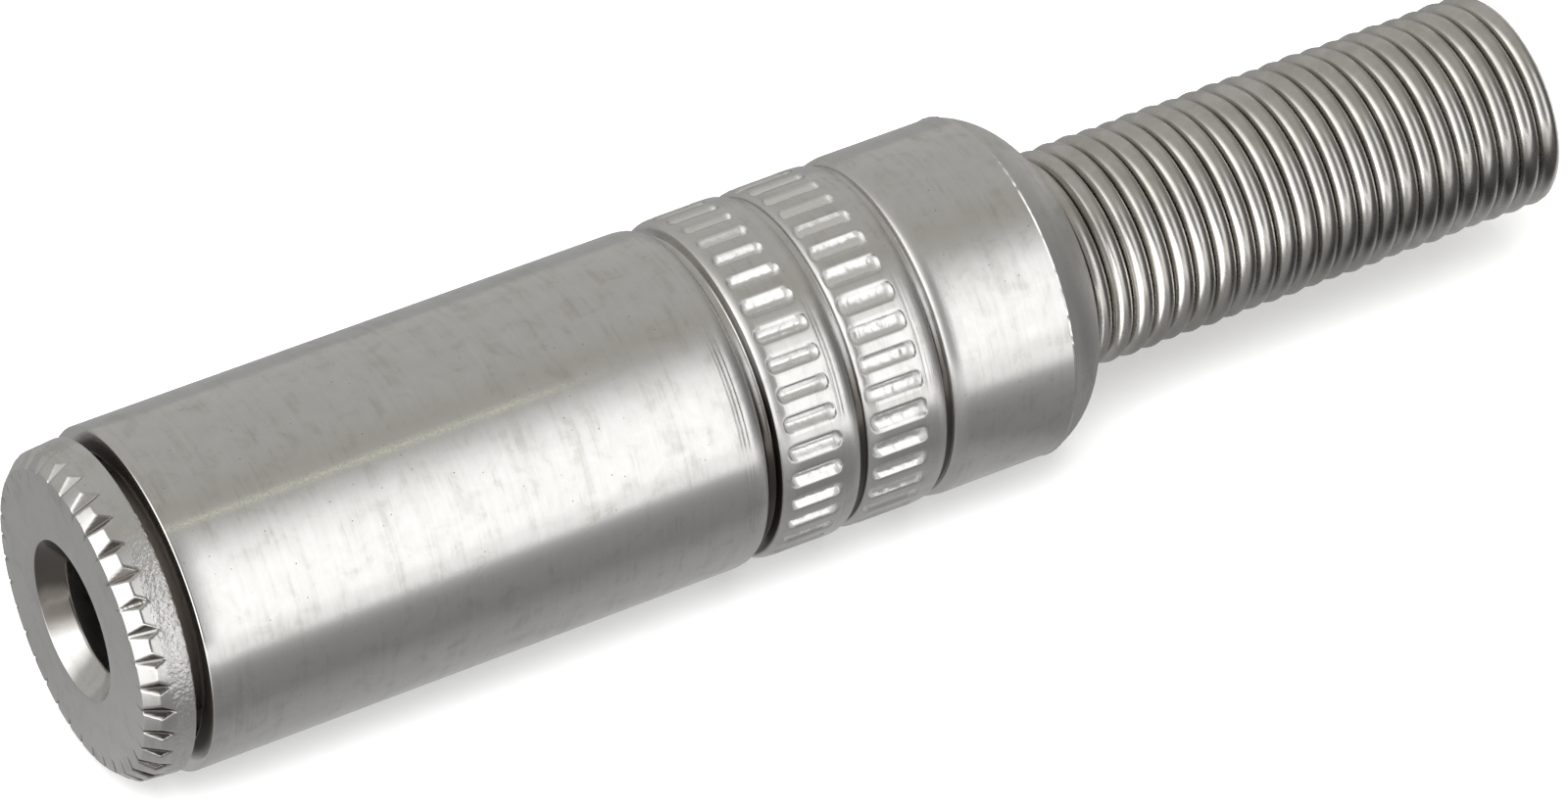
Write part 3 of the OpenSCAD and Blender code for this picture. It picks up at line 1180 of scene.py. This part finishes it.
    def build(self) -> Object:
        """Builds and dresses the sleeve.

        Returns:
            The piece.
        """
        draw = random.Random(self.seed)
        for index in range(len(self.rows_of_slots)):
            for number in range(self.slot_count):
                self.jitter[index, number] = (
                    draw.uniform(*self.slot_wide), draw.uniform(*self.slot_shift),
                    draw.uniform(*self.slot_long))
        turned = TurnedMesh(self.corners(), self.rows)
        turned.spin(self.slot_count, self.columns)
        # One of the paints lays painted shade in the grooves.
        turned.work(self.aligned,
                    {"turned": self.turning, "knurl": self.roughened,
                     "painted_shade": self.painted_shade, "satin": self.satin, "streak": self.streak, "bare": self.bare},
                    self.slotted)
        material = self.finish.build("nickel_barrel")
        piece = finish_piece(turned.bm, "barrel_shell", self.axis, material, self.crease)
        even_shading(piece)
        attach(piece, Body.SLEEVE.value)
        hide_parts("barrel")
        return piece


@dataclass
class Spring:
    """Close-wound strain relief, one wire from the trapped end coil to the free end."""

    axis: Axis
    finish: DrawnMetal
    wire_d: float = 0.66
    pitch: float = 0.687
    coil_r: float = 2.92
    flare_r: float = 3.57
    flare_turns: Range = (1.4, 0.9)
    start: float = 26.898
    end: float = 46.8
    end_angle: float = 125.0
    uneven: float = 0.015
    uneven_rate: float = 1.7
    uneven_turns: Range = (4.0, 6.0)
    crease: float = 60.0
    steps: int = 64
    sides: int = 14

    def wound(self, place: Polar, turns: float) -> Polar:
        """Widens the trapped end coil and lets the coils sit a little unevenly.

        Args:
            place: Place on the plain helix.
            turns: Number of turns of the helix.

        Returns:
            The place on the finished spring.
        """
        share = (place.angle / 360) % 1
        turn = round((place.station - self.start) / self.pitch - share) + share
        wider = (self.flare_r - self.coil_r) * smooth_step(turn, *self.flare_turns)
        uneven = self.uneven * math.sin(self.uneven_rate * turn) * smooth_step(turn, *self.uneven_turns)
        angle = place.angle + self.end_angle - 360 * turns
        return Polar(place.station, place.radius + wider + uneven, angle)

    def coil(self, bm: BMesh, after: float, turns: float) -> list:
        """Winds a stretch of the plain helix.

        Args:
            bm: Mesh that gets the stretch.
            after: Number of turns before the stretch.
            turns: Number of turns of the stretch.

        Returns:
            The vertices, edges and faces of the stretch.
        """
        old = set(bm.verts) | set(bm.edges) | set(bm.faces)
        steps = max(1, round(turns * self.steps))
        spot = (Matrix.Translation((self.start + self.pitch * after, 0, 0))
                @ Matrix.Rotation(math.tau * after, 4, "X")
                @ Matrix.Translation((0, 0, -self.coil_r)) @ Matrix.Rotation(math.pi / 2, 4, "X"))
        ring = bmesh.ops.create_circle(
            bm, cap_ends=False, segments=self.sides, radius=self.wire_d / 2, matrix=spot)["verts"]
        edges = {edge for vert in ring for edge in vert.link_edges}
        bmesh.ops.spin(bm, geom=ring + list(edges), cent=(0, 0, 0), axis=(1, 0, 0),
                       dvec=(self.pitch * turns / steps, 0, 0), angle=math.tau * turns, steps=steps)
        return [item for kind in (bm.verts, bm.edges, bm.faces) for item in kind if item not in old]

    def build(self) -> Object:
        """Builds and dresses the spring.

        Returns:
            The piece.
        """
        turns = (self.end - self.wire_d / 2 - self.start) / self.pitch
        whole = math.floor(turns)
        bm = bmesh.new()
        self.coil(bm, 0.0, turns - whole)
        first = self.coil(bm, turns - whole, 1.0)
        repeat(bm, first, [Matrix.Translation((self.pitch * i, 0, 0)) for i in range(1, whole)])
        rims = [edge for edge in bm.edges if edge.is_boundary]
        bmesh.ops.holes_fill(bm, edges=rims, sides=self.sides)
        bmesh.ops.recalc_face_normals(bm, faces=list(bm.faces))
        for vert in bm.verts:
            vert.co = self.wound(Polar.of(vert.co), turns).point()
        material = self.finish.build("spring_wire")
        piece = finish_piece(bm, "spring_coils", self.axis, material, self.crease)
        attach(piece, Body.STRAIN_RELIEF.value)
        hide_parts("strain_relief_spring")
        return piece


@dataclass
class InnerParts:
    """Carrier, contacts, ground lug and insulating tube, which keep their CAD shapes."""

    brass: DrawnMetal = STAMPED_BRASS
    black: MouldedPlastic = MouldedPlastic(deep=(0.012, 0.011, 0.011), pale=(0.02, 0.018, 0.017))
    tube: MouldedPlastic = MouldedPlastic(
        deep=(0.74, 0.72, 0.67), pale=(0.8, 0.79, 0.75), roughness=0.35, flow_scale=0.3,
        grain_scale=4.0, grain_depth=0.002)

    def dress(self) -> list[str]:
        """Gives each inner CAD node its finish.

        Returns:
            The names of the nodes.
        """
        brass = self.brass.build("stamped_brass")
        finishes = {
            "contact_carrier": self.black.build("carrier_plastic"),
            "insulating_tube": self.tube.build("tube_plastic"),
            "tip_contact": brass, "ring_contact": brass, "ground_lug": brass}
        for name, material in finishes.items():
            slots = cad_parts[name].data.materials
            slots.clear()
            slots.append(material)
        return list(finishes)


@dataclass
class Studio:
    """Camera, white board, light and what the metal mirrors."""

    azimuth: float = -29.656
    elevation: float = 40.369
    aim: Triple = (-1.982, -1.713, 5.06)
    distance: float = 246.581
    lens: float = 202.5
    sensor: float = 36.0
    board: float = 3000.0
    mirror_height: float = 0.01
    left_box: Triple = (-0.95, -0.15, 0.25)
    left_level: float = 1.8
    left_facing: Range = (0.643, 0.95)
    window_start: Range = (0.0, 0.2)
    window_end: Range = (0.44, 0.57)
    far_side: Range = (0.62, 0.9)
    far_depth: Range = (-0.1, 0.4)
    far_levels: Range = (0.5, 0.7)
    lamp_from: Triple = (-0.25, -0.36, 0.895)
    lamp_distance: float = 300.0
    lamp_size: float = 200.0
    lamp_watts: float = 0.95
    card_at: Triple = (7.4, -8.5, 4.75)
    card_size: tuple[float, float] = (9.0, 8.5)
    card_watts: float = 0.0005

    def camera(self) -> None:
        """Sets up the camera."""
        turn, rise = math.radians(self.azimuth), math.radians(self.elevation)
        level = math.cos(rise)
        back = Vector((math.sin(turn) * level, -math.cos(turn) * level, math.sin(rise)))
        data = bpy.data.cameras.new("camera")
        data.lens = self.lens
        data.sensor_width = self.sensor
        data.sensor_fit = "HORIZONTAL"
        data.clip_start = 0.01
        camera = bpy.data.objects.new("camera", data)
        camera.location = (Vector(self.aim) + back * self.distance) * MM
        camera.rotation_euler = (-back).to_track_quat("-Z", "Y").to_euler()
        bpy.context.scene.collection.objects.link(camera)
        bpy.context.scene.camera = camera

    def sheet(self, name: str, height: float, material: Material) -> Object:
        """Lays a square stage board.

        Args:
            name: Name of the board.
            height: Height over the ground.
            material: Its finish.

        Returns:
            The board.
        """
        bm = bmesh.new()
        place = Matrix.Translation((0, 0, height * MM))
        bmesh.ops.create_grid(bm, x_segments=1, y_segments=1, size=self.board / 2 * MM, matrix=place)
        mesh = bpy.data.meshes.new(name)
        bm.to_mesh(mesh)
        bm.free()
        mesh.materials.append(material)
        board = bpy.data.objects.new(name, mesh)
        bpy.context.scene.collection.objects.link(board)
        return board

    def boards(self) -> None:
        """Lays the floor, and over it the ground that only reflections see."""
        self.sheet("floor", 0.0, PaleFloor().build("pale_floor"))
        ground = ReflectedGround().build("reflected_ground")
        mirror = self.sheet("reflected_ground", self.mirror_height, ground)
        mirror.visible_camera = False
        mirror.visible_diffuse = False
        mirror.visible_shadow = False
        mirror.visible_transmission = False

    def lamps(self) -> None:
        """Hangs the soft lamp and sets the small card that only the spring mirrors."""
        place = Vector(self.lamp_from).normalized()
        soft = self.area_lamp("soft_lamp", place * self.lamp_distance, -place, (self.lamp_size,) * 2,
                              self.lamp_watts)
        soft.visible_glossy = False
        card = self.area_lamp("spring_card", Vector(self.card_at), Vector((1, 0, 0)), self.card_size,
                              self.card_watts)
        card.visible_diffuse = False

    def area_lamp(self, name: str, place: Vector, aim: Vector, size: tuple[float, float],
                  watts: float) -> Object:
        """Adds an area lamp.

        Args:
            name: Name of the lamp.
            place: Place in millimetres.
            aim: Direction that it shines in.
            size: Width and height in millimetres.
            watts: Power.

        Returns:
            The lamp.
        """
        data = bpy.data.lights.new(name, "AREA")
        data.shape = "RECTANGLE"
        data.size, data.size_y = (part * MM for part in size)
        data.energy = watts
        lamp = bpy.data.objects.new(name, data)
        lamp.location = place * MM
        lamp.rotation_euler = aim.to_track_quat("-Z", "Y").to_euler()
        bpy.context.scene.collection.objects.link(lamp)
        return lamp

    def surroundings(self) -> None:
        """Lights the studio from all round, brightest low in front."""
        world = bpy.data.worlds.new("studio")
        bpy.context.scene.world = world
        graph = NodeGraph(world)
        toward = graph.add("TexCoord").outputs["Generated"]
        axes = graph.add("SeparateXYZ", {0: toward})
        ahead = graph.math("MULTIPLY", axes.outputs["Y"], -1.0)
        rise = graph.math("ARCTAN2", axes.outputs["Z"], ahead)
        share = graph.span(rise, -math.pi, math.pi, 0, 1)
        white, warm, olive = (1.0, 1.0, 1.0), (1.0, 0.985, 0.95), (1.0, 0.985, 0.9)
        sky = [(74, 0.56, warm), (88, 0.47, olive), (105, 0.53, warm), (180, 0.55, warm)]
        front = [(-180, 0.5, warm), (-20, 0.6, white), (-8, 1.45, white), (5, 1.6, white),
                 (36, 1.58, white), (50, 1.35, white), (63, 0.88, white), *sky]
        camera_side = [(-180, 0.5, warm), (-20, 0.25, white), (60, 0.25, white), *sky]
        top = max(level for _, level, _ in front)
        colours = [graph.ramp(share, [((angle + 180) / 360, tuple(level / top * part for part in tint))
                                      for angle, level, tint in levels])
                   for levels in (camera_side, front)]
        across = axes.outputs["X"]
        window = graph.math("MULTIPLY", graph.span(across, *self.window_start, 0, 1),
                            graph.span(across, *self.window_end, 1, 0))
        colour = graph.mix(window, *colours)
        end = graph.span(axes.outputs["Y"], *self.far_depth, *self.far_levels)
        far = graph.span(across, *self.far_side, 0, 1)
        level = graph.math("MULTIPLY_ADD", far, graph.math("SUBTRACT", end, 1.0), 1.0)
        around = graph.add("Background", {"Color": colour, "Strength": graph.math("MULTIPLY", level, top)})
        left = Vector(self.left_box).normalized()
        facing = graph.add("VectorMath", {0: toward, 1: left}, operation="DOT_PRODUCT").outputs["Value"]
        glow = graph.span(facing, *self.left_facing, 0.0, self.left_level)
        box = graph.add("Background", {"Color": (1, 1, 1, 1), "Strength": glow})
        both = graph.add("AddShader", {0: around.outputs[0], 1: box.outputs[0]})
        graph.finish(both, "OutputWorld")

    def build(self) -> None:
        """Sets up the whole studio."""
        self.camera()
        self.boards()
        self.lamps()
        self.surroundings()
        bpy.context.scene.view_settings.view_transform = "Standard"


def main() -> None:
    """Builds the socket and its studio."""
    logging.basicConfig(level=logging.INFO)
    axis = Axis.from_frame()
    Studio().build()
    for part in (Nose(axis, NickelPlate()), Barrel(axis, NickelPlate()), Spring(axis, SPRING_WIRE)):
        piece = part.build()
        LOG.info("%s: %d faces", piece.name, len(piece.data.polygons))
    for name in InnerParts().dress():
        LOG.info("%s dressed", name)


if __name__ == "__main__":
    main()
